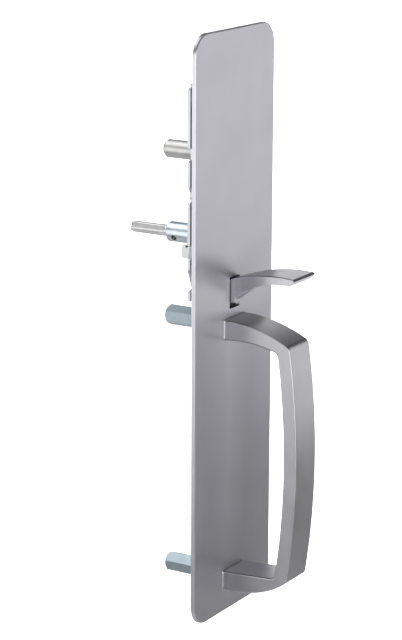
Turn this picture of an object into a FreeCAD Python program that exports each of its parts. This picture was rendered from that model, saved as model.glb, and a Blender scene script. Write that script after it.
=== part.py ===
import FreeCAD, Part
import math
import os

from FreeCAD import Vector

# Outside trim for a door exit device: a thumb lever and a pull handle on an escutcheon
# plate, and behind it the lift gear that turns a tailpiece through the door.
# Frame in millimetres: X to the right across the plate, Y into the door, Z up.
# The origin is on the lift axis, in the plane of the door's face.

# Fits
RUN = 0.05  # radial clearance of a pin or shaft that turns
SEAT = 0.03  # radial clearance of pieces pressed or screwed together
PASS = 0.3  # gap between faces that move past each other
TOUCH = 0.1  # gap between faces that meet under load

# Escutcheon plate
PLATE_W = 88.0
PLATE_H = 350.0
PLATE_T = 2.5
PLATE_DROP = 52.0  # from the lift axis down to the plate's middle
PLATE_CORNER_R = 13.0
PLATE_EDGE_R = 1.0

# Mounting posts, which reach through the door
POST_D = 11.0  # of the round upper post
POST_FLATS = 11.0  # across flats of the two hexagonal lower posts
BOTTOM_POST_TURN = 13.0  # degrees that the bottom post is screwed round past the middle one
UPPER_POST_RISE = 49.4  # from the lift axis up to the upper post
POST_CLEARANCE = 1.2  # between the middle post's washer and the thumb bracket
PULL_PITCH = 155.8  # between the two posts behind the pull handle
UPPER_POST_REACH = 44.2
LOWER_POST_REACH = 42.8
POST_CHAMFER = 1.4
POST_TAP_D = 5.0  # tapping size of the mounting screw
POST_TAP_DEPTH = 20.0
STUD_D = 6.0
STUD_IN_POST = 11.0
STUD_CHAMFER = 0.5
WASHER_D = 14.0
WASHER_T = 1.6
WASHER_SPLIT = 1.2

# Pull handle
GRIP_W = 23.5
GRIP_T = 8.7
GRIP_REACH = 49.15  # from the plate's face to the crown of the grip
GRIP_BOW_R = 465.0
UPPER_FOOT_ABOVE = 4.9  # the feet, above and below their studs
UPPER_FOOT_BELOW = 7.5
LOWER_FOOT_ABOVE = 5.5
LOWER_FOOT_BELOW = 5.7
UPPER_CORNER_DROP = 11.1  # how far the upper arm falls towards the grip
LOWER_CORNER_RISE = 12.4
LOWER_ARM_FLAT = 9.5  # straight part of the lower arm's underside
UPPER_CORNER_R = 5.0
LOWER_CORNER_R = 1.4
INNER_UPPER_R = 4.0
INNER_LOWER_R = 2.6
HANDLE_EDGE_R = 0.9
FOOT_FLARE = 0.4
FOOT_FLARE_DEPTH = 1.5
STUD_IN_FOOT = 11.0

# Thumb slot and lever
SLOT_W = 11.6
SLOT_TOP = -21.8
SLOT_BOTTOM = -40.5
SLOT_CORNER_R = 1.0
LEVER_ROOT_W = 10.0
LEVER_ABOVE = 1.1  # slot left open above the lever's root
LEVER_BELOW = 4.0  # and below it, where the root swings
LEVER_ROOT_DEPTH = 3.0
PADDLE_REACH = 46.5
PADDLE_W = 25.4
PADDLE_CREST_REACH = 37.0  # from the plate's face to the highest line of the paddle's top
PADDLE_RISE = 7.3  # from the lever's root up to that line
PADDLE_TIP_T = 4.0
PADDLE_NOSE = 1.2  # how far the nose stands beyond the paddle's top
PADDLE_EDGE_R = 0.8
FLANK = ((0.21, 6.5), (0.57, 14.5), (0.83, 24.5), (0.92, 33.5))  # share of the widening, reach
BELLY_START = 7.4  # from the root's top down to where the belly starts
BELLY = ((35.5, 2.5), (27.1, 1.3), (15.9, -2.8))  # reach from the plate's face, rise over the root's top
GUSSET_W = 4.4
GUSSET_REACH = 12.0
GUSSET_DROP = 12.0  # from the root's top to the gusset's foot
PIVOT_Y = 4.5
PIVOT_Z = -29.0
PIVOT_PIN_D = 4.0
PIVOT_BOSS_R = 4.0
NOSE_R = 2.5
TAIL_R = 17.0  # from the pivot to the nose that lifts the slide
TAIL_T = 4.1

# Thumb bracket
SHEET_T = 1.5
BRACKET_W = 44.0
BRACKET_ABOVE = 4.3  # flange above and below the slot
BRACKET_BELOW = 1.9
EAR_BACK_Y = 8.5
EAR_TOP_Z = -24.5
SHELF_FRONT_Y = 9.0
SHELF_BACK_Y = 15.0
SHELF_Z = -36.0
BRACKET_STUD_X = 17.5
BRACKET_STUD_Z = -31.0
SMALL_THREAD_D = 4.0
NUT_FLATS = 7.0
NUT_T = 3.2
CLIP_T = 0.7
CLIP_OPENING = 2.6
CLIP_GROOVE = 0.4

# Chassis
CHASSIS_GAP = 5.9  # between the door face's plane and the chassis
CHASSIS_T = 1.9
CHASSIS_HALF_W = 36.0
CHASSIS_TOP = 94.0
CHASSIS_BOTTOM = -31.0
CHASSIS_CORNER_R = 4.0
STANDOFF_D = 8.0
STANDOFF_UPPER = (27.0, 84.0)
STANDOFF_LOWER = (27.0, -14.0)
SCREW_HEAD_R = 3.5
SCREW_HEAD_T = 2.4
SCREW_END_Y = 1.0
LOCK_WASHER_R = 3.4
LOCK_WASHER_T = 0.9

# Lift hub
BARREL_D = 12.4
BARREL_END_Y = 42.0
BARREL_CHAMFER = 0.7
BARREL_FLANGE_R = 9.0
BARREL_FLANGE_T = 2.7
BUSHING_WALL = 1.75
BUSHING_FLANGE_W = 4.7
BUSHING_FLANGE_T = 1.2
BUSHING_NOSE_WALL = 0.75
ARM_SWING = 28.0  # degrees that the hub turns
ARM_T = 2.4
ARM_END_R = 14.0
ARM_W = 8.0
ARM_RING_WALL = 3.6
DRIVE_PIN_D = 3.0
DRIVE_PIN_CLEARANCE = 0.15
RING_T = 1.1
RING_WALL = 2.6
RING_GROOVE = 0.6
RING_OPENING = 3.0

# Lift slide
SLIDE_T = 1.6
SLIDE_EDGE = 0.9  # metal between the drive pin and the slide's edge
SLIDE_WIDTH = 14.0
SLIDE_TOP = 30.0
SLIDE_STEP_Z = -18.0
SLIDE_CORNER_R = 1.5
FOOT_HALF_W = 4.0
FOOT_PAST_NOSE = 3.0
TAB_TOP = -2.0
TAB_H = 7.7
TAB_BACK_Y = 20.8
GUIDE_D = 4.0
GUIDE_HEAD_R = 4.0
GUIDE_HEAD_T = 1.4
GUIDE_TENON_D = 3.0
GUIDE_HEIGHTS = (22.0, -14.5)

# Return spring
SPRING_WIRE_D = 1.4
SPRING_CLEARANCE = 1.5
SPRING_TURNS = 3
SPRING_PITCH = 1.7
SPRING_LEG_PAST = 2.0
ANCHOR_X = 18.0
ANCHOR_D = 3.0

# Tailpiece
TAILPIECE_W = 7.2
TAILPIECE_FIN_T = 2.5
TAILPIECE_END_Y = 68.3
TAILPIECE_LEAN = 18.0  # degrees that the fins lean from upright at rest
FLUTES_FROM_BARREL = 2.0
SHANK_DEPTH = 15.0
TAILPIECE_PIN_D = 3.4
TAILPIECE_PIN_TILT = 65.0  # degrees from straight down
TAILPIECE_PIN_INSET = 1.6
TAILPIECE_PIN_FROM_END = 6.0

# Worked out from the sizes above
MIDDLE_POST_Z = SLOT_BOTTOM - BRACKET_BELOW - WASHER_D / 2 - POST_CLEARANCE
BOTTOM_POST_Z = MIDDLE_POST_Z - PULL_PITCH
CHASSIS_BACK_Y = CHASSIS_GAP + CHASSIS_T
BARREL_R = BARREL_D / 2
SLIDE_Y = CHASSIS_BACK_Y + BUSHING_FLANGE_T + PASS + 0.2
SLIDE_BACK_Y = SLIDE_Y + SLIDE_T
ARM_Y = SLIDE_BACK_Y + PASS
BUSHING_NOSE_R = BARREL_R + RUN + BUSHING_NOSE_WALL
SLIDE_RIGHT = -(BUSHING_NOSE_R + 2 * PASS)
ARM_R = -SLIDE_RIGHT + SLIDE_EDGE + DRIVE_PIN_D / 2
SLIDE_LEFT = SLIDE_RIGHT - SLIDE_WIDTH
GUIDE_X = (SLIDE_LEFT + SLIDE_RIGHT) / 2
HALF_SWING = math.radians(ARM_SWING / 2)
LIFT = 2 * ARM_R * math.tan(HALF_SWING)
HALF_PRESS = math.asin(LIFT / 2 / TAIL_R)
NOSE_Y = PIVOT_Y + TAIL_R * math.cos(HALF_PRESS)
NOSE_Z = PIVOT_Z - LIFT / 2
SLIDE_BOTTOM = NOSE_Z + NOSE_R + TOUCH
BOSS_HALF_W = SLOT_W / 2 - 0.2
EAR_X = BOSS_HALF_W + 0.15
CLIP_R = PIVOT_Y - SHEET_T - TOUCH
PLATE_FACE_Y = -PLATE_T


def box(x0, x1, y0, y1, z0, z1):
    """A block between two corners."""
    return Part.makeBox(x1 - x0, y1 - y0, z1 - z0, Vector(x0, y0, z0))


def rod(x, z, y0, y1, radius):
    """A cylinder along Y."""
    return Part.makeCylinder(radius, y1 - y0, Vector(x, y0, z), Vector(0, 1, 0))


def cross_rod(y, z, x0, x1, radius):
    """A cylinder along X."""
    return Part.makeCylinder(radius, x1 - x0, Vector(x0, y, z), Vector(1, 0, 0))


def cone(x, z, y0, y1, r0, r1):
    """A cone along Y."""
    return Part.makeCone(r0, r1, y1 - y0, Vector(x, y0, z), Vector(0, 1, 0))


def fused(shapes):
    """One solid from pieces that share faces or volume."""
    return shapes[0].fuse(shapes[1:]).removeSplitter()


def sheet(points, y0, y1):
    """A flat plate with an outline in X and Z."""
    corners = [Vector(x, y0, z) for x, z in points]
    face = Part.Face(Part.makePolygon(corners + corners[:1]))
    return face.extrude(Vector(0, y1 - y0, 0))


def slab(edges, x0, x1):
    """A solid with an outline in Y and Z, between two values of X."""
    face = Part.Face(Part.Wire(edges))
    face.translate(Vector(x0, 0, 0))
    return face.extrude(Vector(x1 - x0, 0, 0))


def side_point(y, z):
    """A point of an outline in Y and Z."""
    return Vector(0, y, z)


def line(a, b):
    return Part.LineSegment(a, b).toShape()


def arc(a, middle, b):
    return Part.Arc(a, middle, b).toShape()


def level_arc(start, end):
    """An arc that leaves start along Y and runs to end."""
    dy = end.y - start.y
    dz = end.z - start.z
    radius = (dy * dy + dz * dz) / (2 * dz)
    turn = math.atan2(abs(dy), abs(radius - dz)) / 2
    centre_z = start.z + radius
    middle_y = start.y + math.copysign(abs(radius) * math.sin(turn), dy)
    middle_z = centre_z - radius * math.cos(turn)
    return arc(start, side_point(middle_y, middle_z), end)


def edges_along(shape, direction, keep=None):
    """The straight edges of a shape along a direction, or those of them that keep names."""
    found = []
    for edge in shape.Edges:
        if not isinstance(edge.Curve, Part.Line):
            continue
        run = edge.tangentAt(edge.FirstParameter)
        if abs(run.dot(direction)) > 0.999 and (keep is None or keep(edge.CenterOfMass)):
            found.append(edge)
    return found


def rounded_box(x0, x1, y0, y1, z0, z1, radius):
    """A block whose four edges along Y are round."""
    block = box(x0, x1, y0, y1, z0, z1)
    return block.makeFillet(radius, edges_along(block, Vector(0, 1, 0)))


def mirrored(shape):
    """The same shape on the other side of the middle plane."""
    return shape.mirror(Vector(0, 0, 0), Vector(1, 0, 0))


def split_ring(x, z, y0, y1, r_in, r_out, opening):
    """A flat ring with a gap on its upper side."""
    ring = rod(x, z, y0, y1, r_out).cut(rod(x, z, y0, y1, r_in))
    half = opening / 2
    return ring.cut(box(x - half, x + half, y0, y1, z, z + r_out * 2))


def screw_positions():
    """X and Z of the chassis screws."""
    return [(side * x, z) for side in (-1, 1) for x, z in (STANDOFF_UPPER, STANDOFF_LOWER)]


def escutcheon_plate():
    top = PLATE_H / 2 - PLATE_DROP
    plate = rounded_box(-PLATE_W / 2, PLATE_W / 2, PLATE_FACE_Y, 0, top - PLATE_H, top, PLATE_CORNER_R)
    rim = [e for e in plate.Edges if abs(e.BoundBox.YMax - PLATE_FACE_Y) < 1e-6]
    plate = plate.makeFillet(PLATE_EDGE_R, rim)
    half = SLOT_W / 2
    slot = rounded_box(-half, half, PLATE_FACE_Y - 1, 1, SLOT_BOTTOM, SLOT_TOP, SLOT_CORNER_R)
    holes = [rod(0, z, PLATE_FACE_Y - 1, 1, STUD_D / 2 + PASS) for z in (MIDDLE_POST_Z, BOTTOM_POST_Z)]
    return plate.cut([slot] + holes)


def grip_y(z, inset):
    """Y of the grip's outer face at a height, or of a face inset from it."""
    middle_z = (MIDDLE_POST_Z + BOTTOM_POST_Z) / 2
    centre_y = PLATE_FACE_Y - GRIP_REACH + GRIP_BOW_R
    radius = GRIP_BOW_R - inset
    return centre_y - math.sqrt(radius**2 - (z - middle_z) ** 2)


def grip_arc(z0, z1, inset):
    """A bowed face of the grip between two heights."""
    middle = (z0 + z1) / 2
    heights = (z0, middle, z1)
    return arc(*[side_point(grip_y(z, inset), z) for z in heights])


def handle_outline():
    """The handle's edges seen from the side, and its four corners where arm meets grip."""
    upper_top = MIDDLE_POST_Z + UPPER_FOOT_ABOVE
    upper_under = MIDDLE_POST_Z - UPPER_FOOT_BELOW
    lower_top = BOTTOM_POST_Z + LOWER_FOOT_ABOVE
    lower_under = BOTTOM_POST_Z - LOWER_FOOT_BELOW
    corner_zs = (
        upper_top - UPPER_CORNER_DROP,
        lower_under + LOWER_CORNER_RISE,
        lower_top + 2.0,
        upper_under - 3.2,
    )
    insets = (0, 0, GRIP_T, GRIP_T)
    corners = [side_point(grip_y(z, inset), z) for z, inset in zip(corner_zs, insets)]
    outer_top, outer_low, inner_low, inner_top = corners
    upper_start = side_point(PLATE_FACE_Y, upper_top)
    upper_end = side_point(PLATE_FACE_Y, upper_under)
    lower_start = side_point(PLATE_FACE_Y, lower_top)
    lower_end = side_point(PLATE_FACE_Y, lower_under)
    lower_bend = side_point(PLATE_FACE_Y - LOWER_ARM_FLAT, lower_under)
    under_middle = side_point((upper_end.y + inner_top.y) / 2, upper_under + 0.4)
    edges = [
        level_arc(upper_start, outer_top),
        grip_arc(outer_top.z, outer_low.z, 0),
        level_arc(lower_bend, outer_low),
        line(lower_bend, lower_end),
        line(lower_end, lower_start),
        line(lower_start, inner_low),
        grip_arc(inner_low.z, inner_top.z, GRIP_T),
        arc(inner_top, under_middle, upper_end),
        line(upper_end, upper_start),
    ]
    return Part.__sortEdges__(edges), corners


def foot_section(y, low, high, half_w, grow):
    """A rounded rectangle across an arm, grown on all sides."""
    block = rounded_box(-half_w - grow, half_w + grow, y - 1, y, low - grow, high + grow, HANDLE_EDGE_R + 0.6)
    face = [f for f in block.Faces if abs(f.CenterOfMass.y - y) < 1e-6][0]
    return face.OuterWire


def foot_flare(z, above, below):
    """The widening of an arm where it sits on the plate, steepest at the plate."""
    sections = []
    for away in (0, 0.25, 0.5, 1):
        y = PLATE_FACE_Y - FOOT_FLARE_DEPTH * away
        grow = FOOT_FLARE * (1 - away) ** 2.5 - 0.15 * away
        sections.append(foot_section(y, z - below, z + above, GRIP_W / 2, grow))
    return Part.makeLoft(sections, True)


def pull_handle():
    edges, corners = handle_outline()
    half = GRIP_W / 2
    bar = slab(edges, -half, half)
    radii = (UPPER_CORNER_R, LOWER_CORNER_R, INNER_LOWER_R, INNER_UPPER_R)
    for corner, radius in zip(corners, radii):
        here = edges_along(bar, Vector(1, 0, 0), lambda c: (c - corner).Length < 0.5)
        bar = bar.makeFillet(radius, here)
    sides = [e for e in bar.Edges if abs(abs(e.CenterOfMass.x) - half) < 1e-6]
    long_edges = [e for e in sides if e.BoundBox.YMin < PLATE_FACE_Y - 1]
    bar = bar.makeFillet(HANDLE_EDGE_R, long_edges)
    feet = [
        foot_flare(MIDDLE_POST_Z, UPPER_FOOT_ABOVE, UPPER_FOOT_BELOW),
        foot_flare(BOTTOM_POST_Z, LOWER_FOOT_ABOVE, LOWER_FOOT_BELOW),
    ]
    handle = fused([bar] + feet)
    depth = PLATE_FACE_Y - STUD_IN_FOOT - 1
    holes = [rod(0, z, depth, PLATE_FACE_Y, STUD_D / 2 + SEAT) for z in (MIDDLE_POST_Z, BOTTOM_POST_Z)]
    return handle.cut(holes)


def chamfered_rod(x, z, y0, y1, radius, chamfer):
    """A cylinder along Y with both ends chamfered."""
    front = cone(x, z, y0, y0 + chamfer, radius - chamfer, radius)
    middle = rod(x, z, y0 + chamfer, y1 - chamfer, radius)
    back = cone(x, z, y1 - chamfer, y1, radius, radius - chamfer)
    return fused([front, middle, back])


def handle_studs():
    front = PLATE_FACE_Y - STUD_IN_FOOT
    back = WASHER_T + STUD_IN_POST
    heights = (MIDDLE_POST_Z, BOTTOM_POST_Z)
    return [chamfered_rod(0, z, front, back, STUD_D / 2, STUD_CHAMFER) for z in heights]


def upper_post_stud():
    shank = rod(0, UPPER_POST_RISE, 0, WASHER_T + STUD_IN_POST - STUD_CHAMFER, STUD_D / 2)
    end = WASHER_T + STUD_IN_POST
    tip = cone(0, UPPER_POST_RISE, end - STUD_CHAMFER, end, STUD_D / 2, STUD_D / 2 - STUD_CHAMFER)
    return [fused([shank, tip])]


def hexagon(x, z, y0, y1, flats, turn=0):
    """A hexagonal bar along Y, with one flat towards -X unless it is turned."""
    corner_r = flats / math.sqrt(3)
    angles = [math.radians(60 * i + 30 + turn) for i in range(6)]
    return sheet([(x + corner_r * math.cos(a), z + corner_r * math.sin(a)) for a in angles], y0, y1)


def post_holes(z, reach):
    """The stud hole at a post's front end and the tapped hole at its back end."""
    stud_hole = rod(0, z, WASHER_T, WASHER_T + STUD_IN_POST + 1, STUD_D / 2 + SEAT)
    tapped = rod(0, z, reach - POST_TAP_DEPTH, reach, POST_TAP_D / 2)
    mouth = cone(0, z, reach - 0.6, reach, POST_TAP_D / 2, POST_TAP_D / 2 + 0.6)
    return [stud_hole, tapped, mouth]


def end_turned(z, reach, radius, drop):
    """A round envelope whose back end is turned down by drop."""
    body = rod(0, z, WASHER_T, reach - POST_CHAMFER, radius)
    end = cone(0, z, reach - POST_CHAMFER, reach, radius, radius - drop)
    return fused([body, end])


def round_post(z, reach):
    return end_turned(z, reach, POST_D / 2, POST_CHAMFER * 0.8).cut(post_holes(z, reach))


def hexagonal_post(z, reach, turn):
    envelope = end_turned(z, reach, POST_FLATS / math.sqrt(3), POST_CHAMFER)
    bar = hexagon(0, z, WASHER_T, reach, POST_FLATS, turn)
    return bar.common(envelope).cut(post_holes(z, reach))


def post_lock_washers():
    inner = STUD_D / 2 + PASS
    heights = (UPPER_POST_RISE, MIDDLE_POST_Z, BOTTOM_POST_Z)
    return [split_ring(0, z, 0, WASHER_T, inner, WASHER_D / 2, WASHER_SPLIT) for z in heights]


def chassis_outline():
    """Corners of the chassis's left half, down its notched edge."""
    w = CHASSIS_HALF_W
    return [
        (0, CHASSIS_TOP),
        (-w, CHASSIS_TOP),
        (-w, 58.0),
        (-w + 3.5, 57.0),
        (-w + 3.5, 51.0),
        (-w, 50.0),
        (-w, 1.8),
        (-w + 3.0, 0.4),
        (-w + 0.6, -6.0),
        (-w, -6.4),
        (-w, -12.5),
        (-w + 4.6, -24.0),
        (-w + 0.4, -25.5),
        (-w + 0.4, CHASSIS_BOTTOM),
        (-BRACKET_STUD_X + 7.0, CHASSIS_BOTTOM),
        (-BRACKET_STUD_X + 7.0, EAR_TOP_Z + 2.0),
        (0, EAR_TOP_Z + 2.0),
    ]


def chassis_plate():
    half = sheet(chassis_outline(), CHASSIS_GAP, CHASSIS_BACK_Y)
    plate = fused([half, mirrored(half)])
    top = edges_along(plate, Vector(0, 1, 0), lambda c: c.z > CHASSIS_TOP - 1)
    plate = plate.makeFillet(CHASSIS_CORNER_R, top)
    bites = [rod(side * (CHASSIS_HALF_W + 2.5), 31.0, 0, CHASSIS_BACK_Y + 1, 5.2) for side in (-1, 1)]
    post_hole = rod(0, UPPER_POST_RISE, 0, CHASSIS_BACK_Y + 1, POST_D / 2 + PASS)
    hub_hole = rod(0, 0, 0, CHASSIS_BACK_Y + 1, bushing_r() + SEAT)
    anchor_hole = rod(ANCHOR_X, anchor_z(), 0, CHASSIS_BACK_Y + 1, ANCHOR_D / 2 + SEAT)
    guide_holes = [rod(GUIDE_X, z, 0, CHASSIS_BACK_Y + 1, GUIDE_TENON_D / 2 + SEAT) for z in GUIDE_HEIGHTS]
    screw_holes = [rod(x, z, 0, CHASSIS_BACK_Y + 1, SMALL_THREAD_D / 2 + 0.2) for x, z in screw_positions()]
    plate = plate.cut(bites + [post_hole, hub_hole, anchor_hole] + guide_holes + screw_holes)
    return plate


def chassis_standoffs():
    made = []
    for x, z in screw_positions():
        spacer = rod(x, z, 0, CHASSIS_GAP, STANDOFF_D / 2)
        made.append(spacer.cut(rod(x, z, 0.5, CHASSIS_GAP, SMALL_THREAD_D / 2 + SEAT)))
    return made


def chassis_washers():
    inner = SMALL_THREAD_D / 2 + 0.2
    y1 = CHASSIS_BACK_Y + LOCK_WASHER_T
    return [split_ring(x, z, CHASSIS_BACK_Y, y1, inner, LOCK_WASHER_R, 0.8) for x, z in screw_positions()]


def pan_screw(x, z, seat_y):
    """A pan-head screw with a cross recess, its head behind seat_y."""
    head = rod(x, z, seat_y, seat_y + SCREW_HEAD_T, SCREW_HEAD_R)
    crown = [e for e in head.Edges if abs(e.BoundBox.YMin - seat_y - SCREW_HEAD_T) < 1e-6]
    head = head.makeFillet(SCREW_HEAD_T * 0.5, crown)
    shank = chamfered_rod(x, z, SCREW_END_Y, seat_y + 0.6, SMALL_THREAD_D / 2, 0.3)
    recess_y = seat_y + SCREW_HEAD_T - 1.2
    across = box(x - 1.9, x + 1.9, recess_y, recess_y + 2, z - 0.4, z + 0.4)
    upright = box(x - 0.4, x + 0.4, recess_y, recess_y + 2, z - 1.9, z + 1.9)
    return fused([head, shank]).cut([across, upright])


def chassis_screws():
    seat_y = CHASSIS_BACK_Y + LOCK_WASHER_T
    return [pan_screw(x, z, seat_y) for x, z in screw_positions()]


def bracket_ear(x0, x1):
    """One upright ear of the thumb bracket, with a lower arm that carries the shelf."""
    low = SLOT_BOTTOM - BRACKET_BELOW
    outline = [
        (0, EAR_TOP_Z),
        (EAR_BACK_Y, EAR_TOP_Z),
        (EAR_BACK_Y, EAR_TOP_Z - 8.0),
        (SHELF_BACK_Y, EAR_TOP_Z - 8.0),
        (SHELF_BACK_Y, SHELF_Z - SHEET_T),
        (EAR_BACK_Y, SHELF_Z - SHEET_T),
        (EAR_BACK_Y, low),
        (0, low),
    ]
    points = [side_point(y, z) for y, z in outline]
    edges = [line(a, b) for a, b in zip(points, points[1:] + points[:1])]
    return slab(edges, x0, x1).cut(cross_rod(PIVOT_Y, PIVOT_Z, x0, x1, PIVOT_PIN_D / 2 + SEAT))


def thumb_bracket():
    half = BRACKET_W / 2
    low = SLOT_BOTTOM - BRACKET_BELOW
    flange = rounded_box(-half, half, 0, SHEET_T, low, SLOT_TOP + BRACKET_ABOVE, 2.0)
    window = box(-EAR_X, EAR_X, -1, SHEET_T + 1, SLOT_BOTTOM, SLOT_TOP)
    hole_r = SMALL_THREAD_D / 2 + 0.2
    hole_x = (-BRACKET_STUD_X, BRACKET_STUD_X)
    stud_holes = [rod(x, BRACKET_STUD_Z, -1, SHEET_T + 1, hole_r) for x in hole_x]
    ears = [bracket_ear(-EAR_X - SHEET_T, -EAR_X), bracket_ear(EAR_X, EAR_X + SHEET_T)]
    shelf = box(-EAR_X, EAR_X, SHELF_FRONT_Y, SHELF_BACK_Y, SHELF_Z - SHEET_T, SHELF_Z)
    return fused([flange.cut([window] + stud_holes), shelf] + ears)


def bracket_studs():
    end = CHASSIS_GAP - PASS
    made = []
    for side in (-1, 1):
        x = side * BRACKET_STUD_X
        shank = rod(x, BRACKET_STUD_Z, 0, end - 0.4, SMALL_THREAD_D / 2)
        tip = cone(x, BRACKET_STUD_Z, end - 0.4, end, SMALL_THREAD_D / 2, SMALL_THREAD_D / 2 - 0.4)
        made.append(fused([shank, tip]))
    return made


def hex_nut(x, z, y0):
    """A hexagon nut with its axis along Y."""
    corner_r = NUT_FLATS / math.sqrt(3)
    nut = hexagon(x, z, y0, y0 + NUT_T, NUT_FLATS)
    chamfer = cone(x, z, y0 + NUT_T - 1.0, y0 + NUT_T, corner_r + 0.6, corner_r - 0.4)
    body = rod(x, z, y0, y0 + NUT_T - 1.0, corner_r + 0.6)
    bore = rod(x, z, y0, y0 + NUT_T, SMALL_THREAD_D / 2 + SEAT)
    return nut.common(fused([body, chamfer])).cut(bore)


def bracket_nuts():
    return [hex_nut(side * BRACKET_STUD_X, BRACKET_STUD_Z, SHEET_T) for side in (-1, 1)]


def paddle_plan():
    """The lever seen from above: a narrow root that widens into the paddle."""
    root = LEVER_ROOT_W / 2
    tip = PADDLE_W / 2
    shoulder_y = PLATE_FACE_Y - LEVER_ROOT_DEPTH
    tip_y = PLATE_FACE_Y - PADDLE_REACH - 1.0
    flank = [Vector(root, shoulder_y, 0)]
    flank += [Vector(root + share * (tip - root), shoulder_y - reach, 0) for share, reach in FLANK]
    flank += [Vector(tip, tip_y, 0)]
    curve = Part.BSplineCurve()
    curve.interpolate(flank)
    other = Part.BSplineCurve()
    other.interpolate([Vector(-p.x, p.y, 0) for p in flank])
    back = NOSE_Y
    edges = [
        curve.toShape(),
        line(flank[-1], Vector(-tip, tip_y, 0)),
        other.toShape(),
        line(Vector(-root, shoulder_y, 0), Vector(-root, back, 0)),
        line(Vector(-root, back, 0), Vector(root, back, 0)),
        line(Vector(root, back, 0), Vector(root, shoulder_y, 0)),
    ]
    face = Part.Face(Part.Wire(Part.__sortEdges__(edges)))
    face.translate(Vector(0, 0, SLOT_BOTTOM))
    return face.extrude(Vector(0, 0, 60))


def lever_top(y):
    """Height of the lever's top, which crests near the tip."""
    root_z = SLOT_TOP - LEVER_ABOVE
    away = (y - PLATE_FACE_Y + PADDLE_CREST_REACH) / PADDLE_CREST_REACH
    return root_z + PADDLE_RISE * (1 - away**2)


def lever_side():
    """The lever's root and paddle seen from the side."""
    top = SLOT_TOP - LEVER_ABOVE
    bottom = SLOT_BOTTOM + LEVER_BELOW
    front = PLATE_FACE_Y - LEVER_ROOT_DEPTH
    nose_y = PLATE_FACE_Y - PADDLE_REACH
    root_top = side_point(PLATE_FACE_Y, top)
    crest_y = PLATE_FACE_Y - PADDLE_CREST_REACH * 0.6
    tip_top = side_point(nose_y + PADDLE_NOSE, lever_top(nose_y + PADDLE_NOSE))
    nose = side_point(nose_y, tip_top.z - PADDLE_NOSE)
    tip_low = side_point(nose_y + 2 * PADDLE_NOSE, tip_top.z - PADDLE_TIP_T)
    under = side_point(front, top - BELLY_START)
    passed = [side_point(PLATE_FACE_Y - reach, top + rise) for reach, rise in BELLY]
    belly = Part.BSplineCurve()
    belly.interpolate([tip_low] + passed + [under])
    back = [
        (front, bottom),
        (PIVOT_Y - 2.5, bottom),
        (PIVOT_Y, PIVOT_Z - PIVOT_BOSS_R),
        (PIVOT_Y, PIVOT_Z + PIVOT_BOSS_R),
        (0, top),
    ]
    points = [under] + [side_point(y, z) for y, z in back] + [root_top]
    edges = [line(a, b) for a, b in zip(points, points[1:])]
    edges += [arc(root_top, side_point(crest_y, lever_top(crest_y)), tip_top)]
    edges += [line(tip_top, nose), line(nose, tip_low), belly.toShape()]
    return slab(Part.__sortEdges__(edges), -PADDLE_W, PADDLE_W)


def thumb_lever():
    blade = lever_side().common(paddle_plan())
    top = SLOT_TOP - LEVER_ABOVE
    shoulder_y = PLATE_FACE_Y - LEVER_ROOT_DEPTH + 0.1
    flanks = [e for e in blade.Edges if e.BoundBox.YMax < shoulder_y and abs(e.CenterOfMass.x) > 1]
    rims = [e for e in flanks if e.BoundBox.ZMin > top - 0.2 and e.BoundBox.YLength > 10]
    blade = blade.makeFillet(PADDLE_EDGE_R, rims)
    front = PLATE_FACE_Y - LEVER_ROOT_DEPTH
    foot_z = top - GUSSET_DROP
    head_z = top - GUSSET_DROP / 4
    web = [(front + 1, foot_z), (front, foot_z), (front - GUSSET_REACH, head_z), (front + 1, head_z)]
    points = [side_point(y, z) for y, z in web]
    edges = [line(a, b) for a, b in zip(points, points[1:] + points[:1])]
    gusset = slab(edges, -GUSSET_W / 2, GUSSET_W / 2)
    boss = cross_rod(PIVOT_Y, PIVOT_Z, -BOSS_HALF_W, BOSS_HALF_W, PIVOT_BOSS_R)
    half = LEVER_ROOT_W / 2
    tail_low = NOSE_Z - NOSE_R
    tail = box(-half, half, PIVOT_Y, NOSE_Y, tail_low, tail_low + TAIL_T)
    nose = cross_rod(NOSE_Y, NOSE_Z, -half, half, NOSE_R)
    bore = cross_rod(PIVOT_Y, PIVOT_Z, -BOSS_HALF_W, BOSS_HALF_W, PIVOT_PIN_D / 2 + RUN)
    return fused([blade, gusset, boss, tail, nose]).cut(bore)


def clip_x():
    """Inner face of the right-hand retaining clip."""
    return EAR_X + SHEET_T + TOUCH


def thumb_pivot_pin():
    radius = PIVOT_PIN_D / 2
    end = clip_x() + CLIP_T + 1.0
    pin = cross_rod(PIVOT_Y, PIVOT_Z, -end, end, radius)
    pin = pin.makeChamfer(0.4, [e for e in pin.Edges if isinstance(e.Curve, Part.Circle)])
    x0 = clip_x()
    groove = cross_rod(PIVOT_Y, PIVOT_Z, x0, x0 + CLIP_T, radius + 1)
    groove = groove.cut(cross_rod(PIVOT_Y, PIVOT_Z, x0, x0 + CLIP_T, radius - CLIP_GROOVE))
    return pin.cut([groove, mirrored(groove)])


def pivot_clips():
    x0 = clip_x()
    inner = PIVOT_PIN_D / 2 - CLIP_GROOVE + SEAT
    ring = cross_rod(PIVOT_Y, PIVOT_Z, x0, x0 + CLIP_T, CLIP_R)
    bore = cross_rod(PIVOT_Y, PIVOT_Z, x0, x0 + CLIP_T, inner)
    half = CLIP_OPENING / 2
    mouth = box(x0, x0 + CLIP_T, PIVOT_Y, PIVOT_Y + CLIP_R * 2, PIVOT_Z - half, PIVOT_Z + half)
    clip = ring.cut([bore, mouth])
    return [clip, mirrored(clip)]


def lever_bumper():
    top = NOSE_Z - NOSE_R - TOUCH
    half = LEVER_ROOT_W / 2 - 0.6
    pad = box(-half, half, SHELF_FRONT_Y + 0.5, SHELF_BACK_Y - 0.5, SHELF_Z, top)
    return pad.makeFillet(0.6, edges_along(pad, Vector(0, 0, 1)))


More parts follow.
